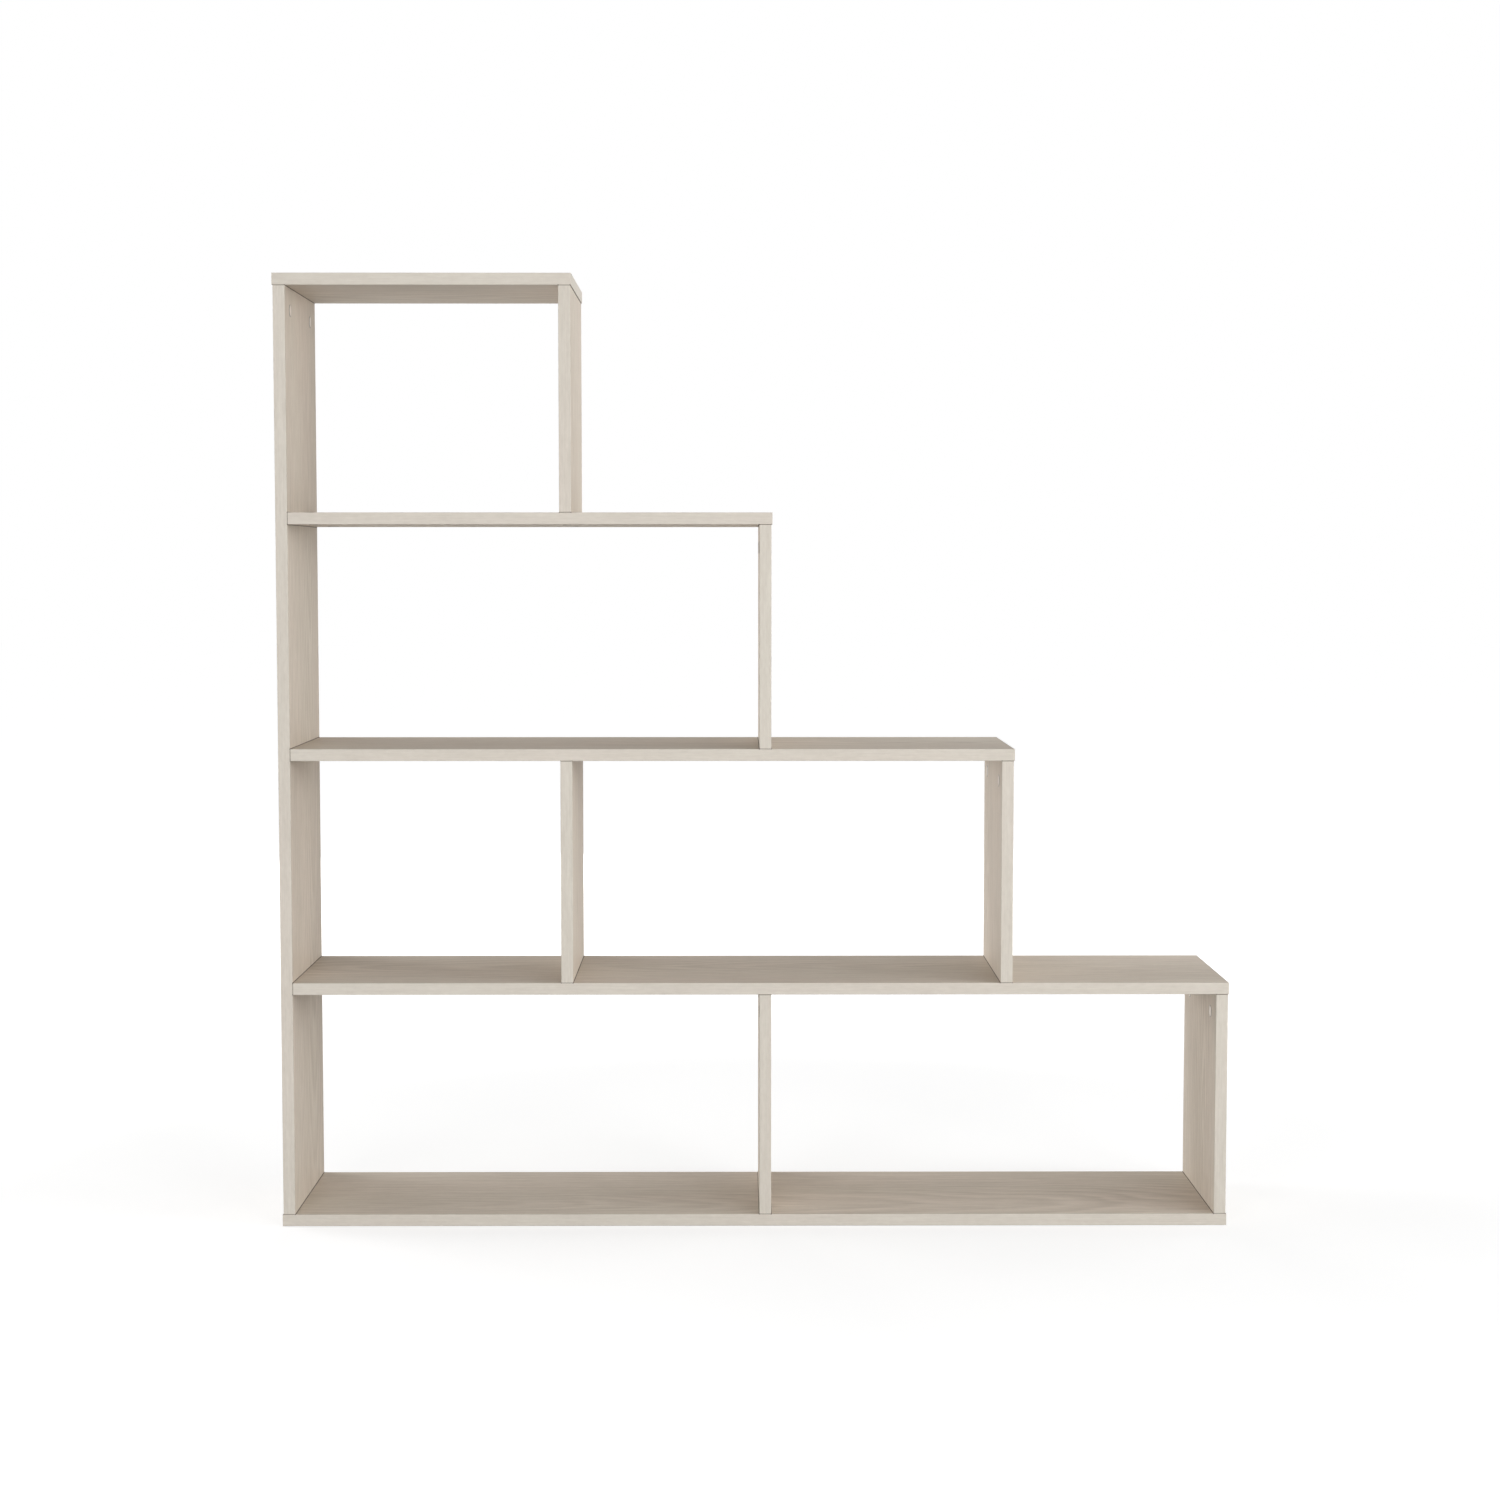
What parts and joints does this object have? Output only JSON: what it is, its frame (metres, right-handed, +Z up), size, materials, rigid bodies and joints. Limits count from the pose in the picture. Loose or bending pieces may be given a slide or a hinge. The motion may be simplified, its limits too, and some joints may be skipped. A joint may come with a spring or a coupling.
{
  "type": "staircase bookcase",
  "caption": "Open stepped bookcase of flat boards: a tall left side, shelves that step down to the right, and dividers between open bays.",
  "frame": {"origin": "on the floor under the middle of the base shelf", "axes": "+Z up, the front faces -Y, the steps fall towards +X"},
  "size_m": [1.45, 0.29, 1.45],
  "materials": {
    "board": "greige wood-grain melamine on particle board",
    "edging": "wood-grain edging strip",
    "cap": "satin",
    "cam": "die-cast zinc",
    "steel": "zinc plated",
    "dowel": "bare beech"
  },
  "bodies": {
    "root": {"top_shelf": "board", "second_shelf": "board", "third_shelf": "board", "fourth_shelf": "board", "base_shelf": "board", "tall_side": "board", "tier1_upright": "board", "tier2_upright": "board", "tier3_divider": "board", "tier3_upright": "board", "tier4_divider": "board", "tier4_upright": "board", "top_shelf_edging": "edging", "second_shelf_edging": "edging", "third_shelf_edging": "edging", "fourth_shelf_edging": "edging", "base_shelf_edging": "edging", "tall_side_edging": "edging", "tier1_upright_edging": "edging", "tier2_upright_edging": "edging", "tier3_divider_edging": "edging", "tier3_upright_edging": "edging", "tier4_divider_edging": "edging", "tier4_upright_edging": "edging", "top_shelf_cam_locks": "cam", "top_shelf_cam_bolts": "steel", "top_shelf_dowels": "dowel", "second_shelf_cam_locks": "cam", "second_shelf_cam_bolts": "steel", "second_shelf_dowels": "dowel", "third_shelf_cam_locks": "cam", "third_shelf_cam_bolts": "steel", "third_shelf_dowels": "dowel", "fourth_shelf_cam_locks": "cam", "fourth_shelf_cam_bolts": "steel", "fourth_shelf_dowels": "dowel", "tall_side_cam_caps": "cap", "tier1_upright_cam_caps": "cap", "tier2_upright_cam_caps": "cap", "tier3_divider_cam_caps": "cap", "tier3_upright_cam_caps": "cap", "tier4_divider_cam_caps": "cap", "tier4_upright_cam_caps": "cap", "second_shelf_cam_caps": "cap", "third_shelf_cam_caps": "cap", "fourth_shelf_cam_caps": "cap", "second_shelf_screws": "steel", "third_shelf_screws": "steel", "fourth_shelf_screws": "steel", "base_shelf_screws": "steel", "second_shelf_screw_caps": "cap", "third_shelf_screw_caps": "cap", "fourth_shelf_screw_caps": "cap"}
  },
  "joints": []
}
